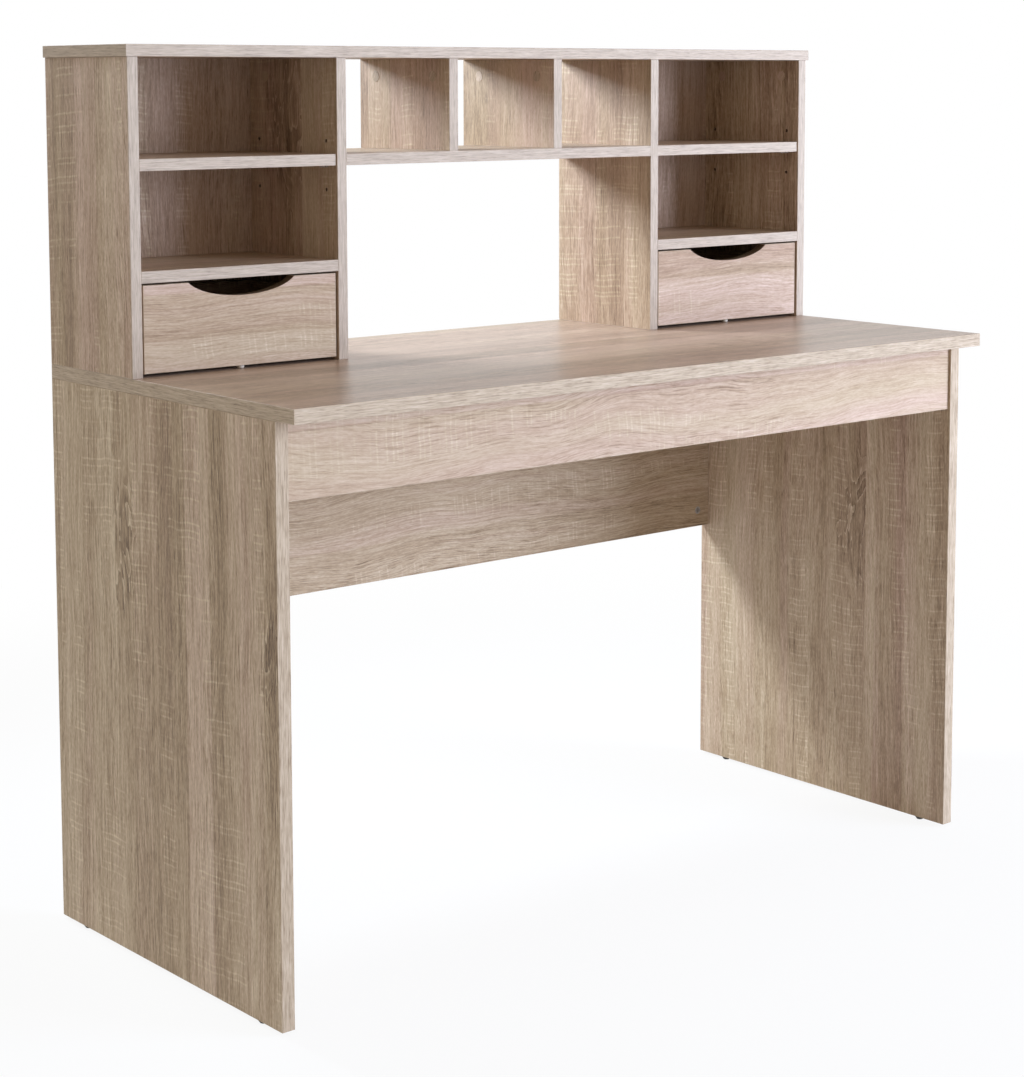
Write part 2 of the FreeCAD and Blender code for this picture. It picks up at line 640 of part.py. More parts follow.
def make_drawer(name, side):
    """One drawer: front with its finger notch, box, bottom sheet, fittings and glides."""
    middle = mirrored(side, BAY_MIDDLE)
    drawer = f"{name}_drawer"
    front = Board(f"{drawer}_front", (f"{middle} - ({FRONT_WIDTH}) / 2", DRAWER_FRONT, DRAWER_FLOOR),
                  (FRONT_WIDTH, "hutch_board", FRONT_HEIGHT))
    inner_width = f"2 * ({BOX_HALF} - drawer_board)"
    rise = "groove_height + drawer_sheet + sheet_gap"
    back = Board(f"{drawer}_back",
                 (f"{middle} - ({inner_width}) / 2", f"{DRAWER_REAR} - drawer_board",
                  f"{DRAWER_FLOOR} + {rise}"),
                 (inner_width, "drawer_board", f"drawer_side_height - ({rise})"))
    sheet_level = f"{DRAWER_FLOOR} + groove_height"
    sheet_half = f"({inner_width}) / 2 + groove_depth - bore_end_gap"
    sheet_start = f"{FRONT_BACK_FACE} - groove_depth + bore_end_gap"
    bottom = Board(f"{drawer}_bottom", (f"{middle} - ({sheet_half})", sheet_start, sheet_level),
                   (f"2 * ({sheet_half})", f"{DRAWER_REAR} - ({sheet_start})", "drawer_sheet"),
                   "sheet_rounding")
    groove_low, groove_high = f"{sheet_level} - sheet_gap", f"{sheet_level} + drawer_sheet + sheet_gap"
    groove_half = f"({inner_width}) / 2 + groove_depth"
    front.slot("back", (f"{middle} - ({groove_half})", None, groove_low),
               (f"{middle} + {groove_half}", None, groove_high), "groove_depth")

    drawer_kit = joint_kit(drawer, cam(f"{drawer}_cam", "drawer_board"))
    cam_level = f"{DRAWER_FLOOR} + drawer_cam_height"
    dowel_levels = [f"{back.corner[2]} + drawer_dowel_inset", f"{DRAWER_FLOOR} + drawer_side_height"
                    " - drawer_dowel_inset"]
    screw_levels = [f"{back.corner[2]} + drawer_screw_inset", f"{DRAWER_FLOOR} + drawer_side_height"
                    " - drawer_screw_inset"]
    glide_points = [(middle, front.middle(1), DRAWER_FLOOR)]
    front.bore("bottom", glide_points, "glide_nail + 2 * fit_gap", "glide_nail_length + bore_end_gap")
    for hand, sign in SIDES.items():
        low_x = f"{middle} - ({BOX_HALF})" if sign < 0 else f"{middle} + {BOX_HALF} - drawer_board"
        panel = Board(f"{drawer}_{hand}_side", (low_x, FRONT_BACK_FACE, DRAWER_FLOOR),
                      ("drawer_board", DRAWER_LENGTH, "drawer_side_height"))
        inner_face = OPPOSITE[hand]
        panel.slot(inner_face, (None, FRONT_BACK_FACE, groove_low), (None, DRAWER_REAR, groove_high),
                   "groove_depth")
        butt_joint(front, "back", panel, "front", hand, [cam_level], dowel_levels, drawer_kit, slim=True)
        points = [(panel.face_level(hand), back.middle(1), level) for level in screw_levels]
        screw_joint(panel, hand, back, hand, points, slim_screw, f"{drawer}_screws", "slim_screw",
                    "drawer_board")
        rear_point = (panel.middle(0), f"{DRAWER_REAR} - glide_rear_inset", DRAWER_FLOOR)
        panel.bore("bottom", [rear_point], "glide_nail + 2 * fit_gap", "glide_nail_length + bore_end_gap")
        glide_points.append(rear_point)
    for point in glide_points:
        add_fitting(f"{drawer}_glides", drawer_glide, point, AXES[2], AXES[0])
    points = [(f"{middle} + {step} * bottom_nail_spread", back.middle(1), sheet_level) for step in (-1, 1)]
    screw_joint(bottom, "bottom", back, "bottom", points, sheet_nail, f"{drawer}_bottom_nails", "nail",
                "drawer_sheet + sheet_gap")
    cut_notch(front, f"{drawer}_front", middle)


def cut_notch(front, label, middle):
    """Cuts the finger notch: the foot of an ellipse whose centre lies above the front's top edge, as wide at
    that edge as the notch."""
    ellipse = document.addObject("Part::Ellipse", f"{label}_notch")
    reach = "notch_depth + notch_lift"
    ellipse.setExpression("MinorRadius", tied(reach))
    ellipse.setExpression("MajorRadius", tied(f"notch_width / 2 / sqrt(1 - (notch_lift / ({reach}))^2)"))
    upright = FreeCAD.Rotation(AXES[0], 90)
    ellipse.Placement = FreeCAD.Placement(FreeCAD.Vector(), upright)
    place = (middle, f"{DRAWER_FRONT} - hutch_board / 2", f"{front.face_level('top')} + notch_lift")
    for axis, value in zip("xyz", place):
        ellipse.setExpression(f"Placement.Base.{axis}", tied(value))
    cutter = document.addObject("Part::Extrusion", f"{label}_notch_cutter")
    cutter.Base = ellipse
    cutter.DirMode = "Custom"
    cutter.Dir = AXES[1]
    cutter.Solid = True
    cutter.setExpression("LengthFwd", "2 * Sizes.hutch_board")
    notched = document.addObject("Part::Cut", f"{label}_notched")
    notched.Base = front.body
    notched.Tool = cutter
    front.body.Label = f"{label}_board"
    notched.Label = label
    sub_parts[sub_parts.index(front.body)] = notched


def make_groups():
    """One compound for each group of like fittings."""
    for label, copies in fittings.items():
        group = document.addObject("Part::Compound", label)
        group.Label = label
        group.Links = copies
        sub_parts.append(group)


def check_model():
    """Stops if an object failed, a cut removed nothing, or a sub-part's shape is not sound."""
    for item in document.Objects:
        if "Invalid" in item.State or "Error" in item.State:
            raise RuntimeError(f"{item.Label} failed: {item.State}")
        if item.TypeId in ("PartDesign::Pocket", "PartDesign::Hole"):
            if item.Shape.Volume >= item.BaseFeature.Shape.Volume - 0.1:
                raise RuntimeError(f"{item.Label} cuts nothing")
    for part in sub_parts:
        if part.Shape.isNull() or not part.Shape.isValid() or not part.Shape.Solids:
            raise RuntimeError(f"{part.Label} has no sound shape")


make_hutch(make_desk())
for drawer_name, drawer_side in SIDES.items():
    make_drawer(drawer_name, drawer_side)
make_groups()
document.recompute()
check_model()
os.makedirs("parts", exist_ok=True)
for sub_part in sub_parts:
    sub_part.Shape.exportStep(f"parts/{sub_part.Label}.step")
print(f"{len(sub_parts)} sub-parts, {sum(len(part.Shape.Solids) for part in sub_parts)} solids")
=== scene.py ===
import math

import bpy
import numpy as np
from mathutils import Matrix, Vector


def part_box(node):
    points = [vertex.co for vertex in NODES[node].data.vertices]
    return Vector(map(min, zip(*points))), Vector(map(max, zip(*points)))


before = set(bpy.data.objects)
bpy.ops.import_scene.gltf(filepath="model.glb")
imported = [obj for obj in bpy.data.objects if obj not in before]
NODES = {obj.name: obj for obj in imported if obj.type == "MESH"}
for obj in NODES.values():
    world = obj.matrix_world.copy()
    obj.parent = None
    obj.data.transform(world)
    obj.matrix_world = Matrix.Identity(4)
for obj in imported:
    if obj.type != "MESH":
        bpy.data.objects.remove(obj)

bl_info = {
    "name": "Oak-look student desk with hutch",
    "version": (1, 0, 0),
    "blender": (4, 5, 0),
    "location": "3D View > Sidebar > Desk",
    "description": "Finishes the boards, drawers and fittings of a flat-pack desk and sets its studio",
    "category": "Material",
}

X, Y, Z = 0, 1, 2


def linear(red, green, blue):
    """A display colour, 0 to 255 a channel, as scene-linear red, green, blue and alpha."""
    share = np.array([red, green, blue]) / 255
    curve = np.where(share <= 0.04045, share / 12.92, ((share + 0.055) / 1.055) ** 2.4)
    return (*curve.tolist(), 1.0)


# What each board is cut from: the axis its grain runs along, the axis of its thickness, its place in the
# printed sheet, and its dark figures. A figure is the place (across, along) on the stave edge that cuts it
# off straight, and the side of that edge that it spreads to, as plus or minus one over the figure's size.
NONE = (9.0, 9.0, 1.0)
PLAIN = (NONE, NONE)
DESK_BOARDS = {
    "desktop": (X, Z, 0.0, PLAIN),
    "left_side_panel": (Z, X, 31.0, ((0.121, 0.530, -1.0), (-0.238, 0.450, 1.5))),
    "right_side_panel": (Z, X, 41.0, ((-0.080, 0.432, 0.85), (0.256, 0.690, -2.5))),
    "front_apron": (X, Y, 3.0, PLAIN),
    "rear_panel": (X, Y, 4.0, PLAIN),
}
HUTCH_BOARDS = {
    "hutch_top": (X, Z, 5.0, PLAIN),
    "hutch_left_outer_side": (Z, X, 6.0, PLAIN),
    "hutch_left_inner_side": (Z, X, 7.0, ((0.150, 1.075, 0.62), NONE)),
    "hutch_right_inner_side": (Z, X, 8.0, PLAIN),
    "hutch_right_outer_side": (Z, X, 9.0, PLAIN),
    "middle_shelf": (X, Z, 10.0, PLAIN),
    "left_cubby_divider": (Z, X, 11.0, PLAIN),
    "right_cubby_divider": (Z, X, 12.0, PLAIN),
    "left_fixed_shelf": (X, Z, 13.0, PLAIN),
    "right_fixed_shelf": (X, Z, 14.0, PLAIN),
    "left_pin_shelf": (X, Z, 15.0, PLAIN),
    "right_pin_shelf": (X, Z, 16.0, PLAIN),
    "left_back_sheet": (Z, Y, 17.0, PLAIN),
    "right_back_sheet": (Z, Y, 18.0, PLAIN),
}
DRAWERS = ("left_drawer", "right_drawer")
DRAWER_BOARDS = {}
for _number, _drawer in enumerate(DRAWERS):
    DRAWER_BOARDS[_drawer + "_front"] = (X, Y, 19.0 + _number, PLAIN)
    DRAWER_BOARDS[_drawer + "_back"] = (X, Y, 21.0 + _number, PLAIN)
    DRAWER_BOARDS[_drawer + "_left_side"] = (Y, X, 23.0 + _number, PLAIN)
    DRAWER_BOARDS[_drawer + "_right_side"] = (Y, X, 25.0 + _number, PLAIN)
COVER_PLACE = 27

# How a board differs from the plain print. Arches bends the grain into arches, contrast is the strength of
# the grain, straw moves the tint from rosy to yellow, and lift makes the whole board paler.
DESK_LOOKS = {
    # The desktop's rosier tint (straw below zero) is painted sheen: it stands in for the cool reflection on
    # its top.
    "desktop": {"roughness": 0.31, "shine": 0.9, "straw": -0.45, "lift": -0.045},
    "left_side_panel": {"straw": 0.35, "lift": 0.07, "contrast": 1.2},
    "right_side_panel": {"lift": 0.05, "contrast": 1.05},
    "front_apron": {"arches": 1.0, "contrast": 0.52, "straw": 0.05, "lift": 0.025},
    "rear_panel": {"arches": 0.8, "contrast": 0.72, "straw": 0.75, "lift": -0.02},
}
HUTCH_LOOK = {"contrast": 0.85}
OUTER_SIDE_LOOK = {"contrast": 1.15, "lift": 0.03}
# The back sheets' rosier tint (straw below zero) is painted sheen: it stands in for the cool sheen on the
# back of the bays. Their weaker grain is their own.
BACK_SHEET_LOOK_AND_SHEEN = {"contrast": 0.85, "straw": -0.6}
DRAWER_FRONT_LOOK = {"arches": 0.6, "contrast": 0.62, "straw": -0.45, "lift": 0.035}
# The hutch's edge bands are blended this far towards a paler tint: partly their own pinker colour, partly
# painted highlight for the stronger light on the hutch's front edges.
HUTCH_BAND_HIGHLIGHT_SHARE = 0.22

# The print, from its darkest grain to its palest, and the edge band.
PRINT_NAME = "band-sawn oak print"
PRINT_INPUTS = ("Across", "Along", "Piece", "First edge", "First middle", "First side", "Second edge",
                "Second middle", "Second side", "Arches", "Contrast", "Straw", "Tone")
PRINT_OUTPUTS = {"Colour": "NodeSocketColor", "Relief": "NodeSocketFloat", "Dullness": "NodeSocketFloat"}
PRINT_TONES = ((0.0, linear(100, 77, 59)), (0.3, linear(151, 127, 104)), (0.5, linear(177, 152, 128)),
               (0.72, linear(199, 177, 155)), (1.0, linear(226, 207, 187)))
BAND_TONES = ((0.1, linear(126, 104, 80)), (0.6, linear(186, 164, 137)), (0.95, linear(210, 190, 165)))
MIDDLE_TONE = 0.55
FIGURE_REACH = 0.062
FIGURE_HEIGHT = 0.11
FIGURE_CUT = 0.0012
RINGS_PER_METRE = 130
LAMINATE_SKIN = 0.0008
RELIEF_HEIGHT = 0.0003
FAR_FACE_STEP = 0.37

# The studio, in metres, degrees and scene-linear colours.
FRONT_BOX = {"place": (2.5, -3.3, 1.2), "target": (0.0, 0.0, 0.75), "size": (2.0, 2.0),
             "colour": (0.9, 1.1, 1.56)}
BACK_BOX = {"place": (-0.6, 1.32, 1.62), "target": (0.4, 0.2, 0.8), "size": (0.4, 0.5),
            "colour": (0.87, 1.0, 1.17)}
BACK_SPREAD = 110
ROOM_COLOUR = (1.0, 0.955, 0.885, 1.0)
WHITE = (1.0, 1.0, 1.0, 1.0)
FLOOR_COLOUR = (0.9, 0.9, 0.9, 1.0)
FLOOR_REACH = 9.0
FLOOR_CELLS = 4
FLOOR_SHADOW = 0.1
SHADOW_FADES_FROM, SHADOW_FADES_TO = 0.8, 2.2
CAMERA_PLACE = (-2.07029, -2.41067, 1.10411)
CAMERA_HEADING = -39.957
CAMERA_DIP = 5.792
CAMERA_ROLL = -0.115
CAMERA_SENSOR = 36.0
CAMERA_LENS = 77.99
CAMERA_SHIFT = -0.205


class Socket:
    """An output socket that takes part in arithmetic: each operator adds its Math node."""

    def __init__(self, tree, link):
        self.tree = tree
        self.link = link

    def maths(self, operation, *values):
        """A Math node on these values."""
        return self.tree.node("ShaderNodeMath", {"operation": operation}, values)

    def __add__(self, other):
        return self.maths("ADD", self, other)

    def __sub__(self, other):
        return self.maths("SUBTRACT", self, other)

    def __rsub__(self, other):
        return self.maths("SUBTRACT", other, self)

    def __mul__(self, other):
        return self.maths("MULTIPLY", self, other)

    def __truediv__(self, other):
        return self.maths("DIVIDE", self, other)

    def __pow__(self, other):
        return self.maths("POWER", self, other)

    def __abs__(self):
        return self.maths("ABSOLUTE", self)

    def __gt__(self, other):
        return self.maths("GREATER_THAN", self, other)

    def __lt__(self, other):
        return self.maths("LESS_THAN", self, other)

    def __or__(self, other):
        return self.maths("MAXIMUM", self, other)

    __radd__ = __add__
    __rmul__ = __mul__


class Tree:
    """A node tree that one method adds nodes to."""

    def __init__(self, owner):
        self.owner = owner

    def node(self, kind, settings=None, sockets=(), output=0):
        """Adds a node: its settings first, then the value or the link of each socket. Gives an output."""
        node = self.owner.nodes.new(kind)
        for name, value in (settings or {}).items():
            if name == "stops":
                for place, colour in value[1:-1]:
                    node.color_ramp.elements.new(place)
                for stop, (place, colour) in zip(node.color_ramp.elements, value):
                    stop.position, stop.color = place, colour
            else:
                setattr(node, name, value)
        for key, value in sockets.items() if isinstance(sockets, dict) else enumerate(sockets):
            if isinstance(value, Socket):
                self.owner.links.new(value.link, node.inputs[key])
            else:
                node.inputs[key].default_value = value
        return Socket(self, node.outputs[output]) if node.outputs else None

    def point(self, across, along, depth):
        """A place from its three numbers."""
        return self.node("ShaderNodeCombineXYZ", sockets=(across, along, depth))

    def noise(self, point, detail=2.0, roughness=0.5, distortion=0.0):
        """Smooth noise from 0 to 1 with one feature a unit."""
        return self.node("ShaderNodeTexNoise", sockets={
            "Vector": point, "Scale": 1.0, "Detail": detail, "Roughness": roughness,
            "Distortion": distortion})

    def ease(self, value, low, high):
        """0 below low and 1 above high, with a smooth rise between."""
        return self.node("ShaderNodeMapRange", {"interpolation_type": "SMOOTHSTEP"},
                         (value, low, high, 0.0, 1.0))

    def blend(self, share, first, second):
        """Between two colours."""
        return self.node("ShaderNodeMix", {"data_type": "RGBA"}, {0: share, 6: first, 7: second}, 2)

    def choose(self, share, first, second):
        """Between two numbers."""
        return self.node("ShaderNodeMix", {"data_type": "FLOAT"}, {0: share, 2: first, 3: second}, 0)

    def ramp(self, value, stops):
        """A colour from stops, each a place from 0 to 1 and its colour."""
        return self.node("ShaderNodeValToRGB", {"stops": stops}, (value,))

    def chance(self, value):
        """A random number that stays the same for the same value."""
        return self.node("ShaderNodeTexWhiteNoise", {"noise_dimensions": "1D"}, {"W": value})


def new_material(name):
    """An empty material and its tree."""
    material = bpy.data.materials.new(name)
    material.use_nodes = True
    material.node_tree.nodes.clear()
    return material, Tree(material.node_tree)


def surface(tree, sockets, relief, strength):
    """The material's shader, with its relief as a Bump node."""
    sockets["Normal"] = tree.node("ShaderNodeBump", sockets={
        "Strength": strength, "Distance": RELIEF_HEIGHT, "Height": relief})
    shader = tree.node("ShaderNodeBsdfPrincipled", sockets=sockets)
    tree.node("ShaderNodeOutputMaterial", sockets=(shader,))


def object_axes(tree):
    """The three object coordinates."""
    place = tree.node("ShaderNodeTexCoord", output=3)
    split = tree.node("ShaderNodeSeparateXYZ", sockets=(place,))
    return [Socket(tree, split.link.node.outputs[axis]) for axis in (X, Y, Z)]


def staves(tree, across, wave, width):
    """Staves side by side, some with a hard edge and some that fade into the next.

    Gives the place in a stave from 0 to 1, the softness of its edge, its tone and its warmth.
    """
    stave = (across + wave(across, 7, 0.0, shift=1) * 0.06) / width
    number = stave.maths("FLOOR", stave)
    fraction = stave - number
    softness = tree.ease(tree.chance(number * 1.7 + 11), 0.35, 0.9) * 0.7
    fade = tree.ease(fraction, 0.0, 0.03 + softness)
    tone = tree.choose(fade, tree.chance(number - 1), tree.chance(number))
    warmth = tree.choose(fade, tree.chance(number + 40), tree.chance(number + 41))
    return fraction, softness, tone, warmth


def dark_figures(tree, across, along, figures, ragged, streak):
    """The ragged patch of each figure, the streak that runs on from it above and below, and the pale strip
    on the other side of its stave edge, each from 0 to 1. Where two figures meet, the stronger one shows."""
    body, run_on, beside = None, None, None
    for edge, middle, side in figures:
        reach = (across - edge) * side
        height = abs((along - middle) * side)
        inside = tree.ease(reach, 0.0, FIGURE_CUT)
        near = ((reach / FIGURE_REACH) ** 2 + (height / FIGURE_HEIGHT) ** 2) ** 0.5 + ragged * 1.4
        patch = (1 - tree.ease(near, 0.65, 1.0)) * inside
        fading = 1 - tree.ease(height, 0.12, 0.42)
        tail = (1 - tree.ease(reach / 0.05 + streak * 1.5, 0.2, 1.1)) * fading * inside
        pale = (1 - tree.ease(abs(reach), 0.03, 0.06)) * fading * (1 - inside)
        body = patch if body is None else body | patch
        run_on = tail if run_on is None else run_on | tail
        beside = pale if beside is None else beside | pale
    return body, run_on, beside


def saw_marks(tree, u, v, layer, wave, pitch):
    """Thin lines across the grain at an even pitch, each with its own strength and small offset, which show
    only in patches."""
    step = (v + u * 0.05 + wave(u, 22, 2, shift=13) * 0.012) / pitch
    index = step.maths("FLOOR", step)
    strength = tree.ease(tree.chance(index + layer), 0.1, 1.0)
    offset = abs(step - index - (0.3 + 0.4 * tree.chance(index + layer + 50)))
    column = wave(u, 27, 1.9, 1, shift=14) + (tree.chance(index + layer + 90) - 0.5) * 0.05
    return (1 - tree.ease(offset, 0.05, 0.24)) * strength * tree.ease(column, 0.03, 0.09)


def oak_print(settings):
    """The printed sheet of band-sawn oak, as a node group.

    Across and Along are metres on the sheet, and Piece picks where in the sheet a board is cut. The grain's
    flow is the place across, bent by long noises. Streaks, pores and growth rings are noises and bands of
    that flow, and Arches bends it more. Staves have their own tone and tint. Straw moves all of it from rosy
    to yellow, Tone from dark to pale, and Contrast is the strength of the grain. A figure is a ragged dark
    patch of curled rings on one side of a stave edge, with a dark streak that runs on above and below. Saw
    marks are thin pale lines at an even pitch across the grain.
    """
    group = bpy.data.node_groups.new(PRINT_NAME, "ShaderNodeTree")
    for name in PRINT_INPUTS:
        group.interface.new_socket(name, in_out="INPUT", socket_type="NodeSocketFloat")
    for name, kind in PRINT_OUTPUTS.items():
        group.interface.new_socket(name, in_out="OUTPUT", socket_type=kind)
    tree = Tree(group)
    entry = tree.node("NodeGroupInput").link.node
    sockets = [Socket(tree, socket) for socket in entry.outputs[:len(PRINT_INPUTS)]]
    across, along, piece = sockets[:3]
    figures = sockets[3:6], sockets[6:9]
    arches, contrast, straw, lift = sockets[9:]
    u = across + piece * 0.731
    v = along + piece * 1.193
    layer = piece * 3.17

    def wave(place, per_metre_across, per_metre_along, detail=2.0, roughness=0.5, distortion=0.0, shift=0.0):
        """Noise from about -0.5 to 0.5 that is stretched along the grain."""
        point = tree.point(place * per_metre_across, v * per_metre_along, layer + shift)
        return tree.noise(point, detail, roughness, distortion) - 0.5

    fraction, softness, tone, warmth = staves(tree, u, wave, settings.stave_width)

    flow = u + wave(u, 5, 0.7) * 0.06 + wave(u, 17, 2.4, shift=2) * 0.014 + wave(u, 60, 11, shift=3) * 0.0035
    flow = flow + wave(u, 4, 4.5, 0.6, shift=4) * 0.06 * arches
    broad = wave(flow, 32, 0.9, 2, shift=5)
    streak = wave(flow, 90, 2.2, 5, 0.72, shift=6)
    fine = wave(flow, 520, 18, 2, 0.75, shift=7)
    grit = wave(flow, 900, 150, 1, shift=16)
    pores = tree.ease(wave(flow, 1100, 34, 1, shift=8), 0.06, 0.14)
    pores = pores * tree.ease(wave(u, 16, 2.2, shift=9), -0.16, 0.1)
    rings = flow * RINGS_PER_METRE + streak * 1.2
    ring = tree.ease(rings.maths("FRACT", rings), 0.35, 0.95)
    ring = ring * tree.ease(wave(u, 9, 1.2, 1, shift=10), -0.08, 0.1) * (0.35 + arches)
    seam = (1 - tree.ease(fraction, 0.015, 0.07)) * (1 - tree.ease(softness, 0.0, 0.2))
    seam = seam * tree.ease(wave(u, 12, 2.0, 1, shift=15), -0.05, 0.12)

    ragged = wave(u, 38, 11, 1.5, 0.55, 0.7, shift=11)
    body, run_on, beside = dark_figures(tree, across, along, figures, ragged, streak)
    curls = wave(u, 32, 7, 2, 0.5, 1.3, shift=12) * 6 + ragged + streak
    curl = curls.maths("FRACT", curls)
    shade = 1 - tree.ease(curl, 0.0, 0.85)
    outline = tree.ease(curl, 0.8, 0.97)
    figure = body * (0.05 + shade * 0.22 - outline * 0.26)

    marks = saw_marks(tree, u, v, layer, wave, settings.saw_pitch)
    marks = marks * (0.8 + fine * 3)

    texture = broad * (0.4 - arches * 0.16) + streak * (0.64 - arches * 0.4) + fine * 0.95 + grit * 0.5
    texture = texture - ring * 0.1 + marks * 0.2 - pores * (0.2 + arches * 0.2)
    grain = (texture - figure - run_on * 0.1 + beside * 0.07) * contrast
    value = lift + MIDDLE_TONE + (tone - 0.5) * 0.2 - seam * 0.16 + grain
    flush = wave(flow, 26, 0.8, 2, shift=17) * 2.4
    warmth = warmth * 0.8 + 0.15 + straw + marks * 0.8 + flush + beside * 0.4
    tint = tree.blend(warmth, tuple(settings.rosy_tint) + (1.0,), tuple(settings.straw_tint) + (1.0,))
    colour = tree.node("ShaderNodeMix", {"data_type": "RGBA", "blend_type": "MULTIPLY"},
                       {0: 1.0, 6: tree.ramp(value, PRINT_TONES), 7: tint}, 2)
    relief = fine + streak * 0.5 - pores + marks * 0.3
    dullness = fine * 0.12 + pores * 0.08
    tree.node("NodeGroupOutput", sockets=(colour, relief, dullness))


def sheet_print(tree, across, along, piece, figures=PLAIN, arches=0.3, contrast=1.0, straw=0.0, lift=0.0):
    """The printed sheet at a place, as its colour, relief and dullness."""
    group = {"node_tree": bpy.data.node_groups[PRINT_NAME]}
    printed = tree.node("ShaderNodeGroup", group, (
        across, along, piece, *figures[0], *figures[1], arches, contrast, straw, lift))
    return [Socket(tree, output) for output in printed.link.node.outputs[:len(PRINT_OUTPUTS)]]


def board_material(settings, name, recipe, roughness=0.42, shine=0.3, band_highlight_share=0.0, **look):
    """The laminate of one board: the print on its two broad faces, edge band on its narrow ones, and the
    brown board inside where it is bored or cut away."""
    grain, depth, piece, figures = recipe
    across = X + Y + Z - grain - depth
    low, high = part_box(name)
    middle, half = (low + high) / 2, (high - low) / 2
    material, tree = new_material(name + " laminate")
    axes = object_axes(tree)

    def beyond(axis, margin):
        return abs(axes[axis] - middle[axis]) > half[axis] - margin

    far_face = axes[depth] > middle[depth]
    printed, relief, dullness = sheet_print(tree, axes[across], axes[grain], piece + far_face * FAR_FACE_STEP,
                                            figures, **look)

    side_edge = beyond(across, settings.band_thickness)
    end_edge = beyond(grain, settings.band_thickness)
    edge = side_edge | end_edge
    run = tree.choose(end_edge, axes[grain], axes[across])
    coarse = tree.noise(tree.point(axes[depth] * 500, run * 20, piece), 3.0, 0.75) - 0.5
    close = tree.noise(tree.point(axes[depth] * 1300, run * 60, piece + 5), 1.0) - 0.5
    band = tree.ramp(0.58 + coarse * 1.4 - tree.ease(close, 0.03, 0.14) * 0.2, BAND_TONES)
    # Painted highlight: where the share is above zero (the hutch), the band is blended towards a paler tint,
    # partly the band's own colour and partly the stronger light on those edges.
    band = tree.blend(band_highlight_share, band, tuple(settings.pale_band_highlight) + (1.0,))
    core = abs(axes[depth] - middle[depth]) < half[depth] - LAMINATE_SKIN
    colour = tree.blend(edge, printed, band)
    colour = tree.blend(core * (1 - edge), colour, tuple(settings.core_colour) + (1.0,))
    relief = tree.choose(edge, relief, coarse + close * 0.5)
    surface(tree, {"Base Color": colour, "Roughness": roughness + dullness + edge * 0.25,
                   "Specular IOR Level": shine}, relief, settings.grain_depth)
    return material


def cover_material(settings):
    """The round covers: a scrap of the same print, stuck on at a slant to the board's own grain."""
    material, tree = new_material("cover print")
    axes = object_axes(tree)
    across = axes[Y] * 0.9 + axes[Z] * 0.45
    along = axes[Z] * 0.9 - axes[Y] * 0.45
    colour, relief, dullness = sheet_print(tree, across, along, COVER_PLACE + axes[X], arches=1.0,
                                           contrast=0.6)
    surface(tree, {"Base Color": colour, "Roughness": 0.4 + dullness}, relief, settings.grain_depth)
    return material


def plain_material(name, colour, roughness, metallic, mottle, scale, relief):
    """A fitting's finish: one colour with a faint mottle from noise, which also gives its relief. The scale
    is the number of speckles in a metre."""
    material, tree = new_material(name)
    axes = object_axes(tree)
    speckle = tree.noise(tree.point(axes[X] * scale, axes[Y] * scale, axes[Z] * scale), 3.0) - 0.5
    darker = tuple(channel * (1 - mottle) for channel in colour[:3]) + (1.0,)
    shade = tree.blend(tree.ease(speckle, -0.25, 0.25), darker, colour)
    surface(tree, {"Base Color": shade, "Roughness": roughness + speckle * 0.15, "Metallic": metallic},
            speckle, relief)
    return material


def dress(name, material):
    """Gives a node its finish."""
    slots = NODES[name].data.materials
    slots.clear()
    slots.append(material)


class DeskLaminateSettings(bpy.types.PropertyGroup):
    """Sizes and colours of the laminate."""

    stave_width: bpy.props.FloatProperty(
        name="Stave width", description="Mean width of the staves in the print", default=0.058, min=0.02,
        max=0.2, subtype="DISTANCE", unit="LENGTH")
    saw_pitch: bpy.props.FloatProperty(
        name="Saw mark pitch", description="Distance from one saw mark to the next", default=0.008, min=0.002,
        max=0.05, subtype="DISTANCE", unit="LENGTH")
    band_thickness: bpy.props.FloatProperty(
        name="Edge band", description="Thickness of the band glued to the narrow faces", default=0.0008,
        min=0.0, max=0.003, precision=5, subtype="DISTANCE", unit="LENGTH")
    grain_depth: bpy.props.FloatProperty(
        name="Grain relief", description="Strength of the embossed pores", default=0.25, min=0.0, max=1.0)
    rosy_tint: bpy.props.FloatVectorProperty(
        name="Rosy tint", description="Tint of the warmest staves", default=(1.035, 0.975, 0.975), size=3,
        subtype="COLOR", min=0.0, max=2.0)
    straw_tint: bpy.props.FloatVectorProperty(
        name="Straw tint", description="Tint of the yellowest staves", default=(1.0, 1.0, 0.905), size=3,
        subtype="COLOR", min=0.0, max=2.0)
    # Painted highlight: the paler, pinker tint of the hutch's edge bands, partly their own colour and partly
    # standing in for the stronger light on the hutch's front edges.
    pale_band_highlight: bpy.props.FloatVectorProperty(
        name="Pale band and highlight", description="Tint of the edge bands of the hutch",
        default=linear(213, 203, 195)[:3], size=3, subtype="COLOR", min=0.0, max=1.0)
    core_colour: bpy.props.FloatVectorProperty(
        name="Board core", description="Colour inside holes and cuts", default=linear(122, 98, 74)[:3],
        size=3, subtype="COLOR", min=0.0, max=1.0)


class DeskStageSettings(bpy.types.PropertyGroup):
    """Strength of the studio's light."""

    front_light: bpy.props.FloatProperty(
        name="Front light", description="Power of the soft box at the right of the camera", default=188.0,
        min=0.0, unit="POWER")
    back_light: bpy.props.FloatProperty(
        name="Back light", description="Power of the soft box behind the desk", default=16.0, min=0.0,
        unit="POWER")
    room_light: bpy.props.FloatProperty(
        name="Room light", description="Strength of the even light from the room", default=0.51, min=0.0)


class DESK_OT_finish_desk(bpy.types.Operator):
    """Lays the oak laminate on the desktop, the side panels, the apron and the rear panel"""

    bl_idname = "desk.finish_desk"
    bl_label = "Finish desk boards"

    def execute(self, context):
        settings = context.scene.desk_laminate
        for name, recipe in DESK_BOARDS.items():
            dress(name, board_material(settings, name, recipe, **DESK_LOOKS[name]))
        return {"FINISHED"}


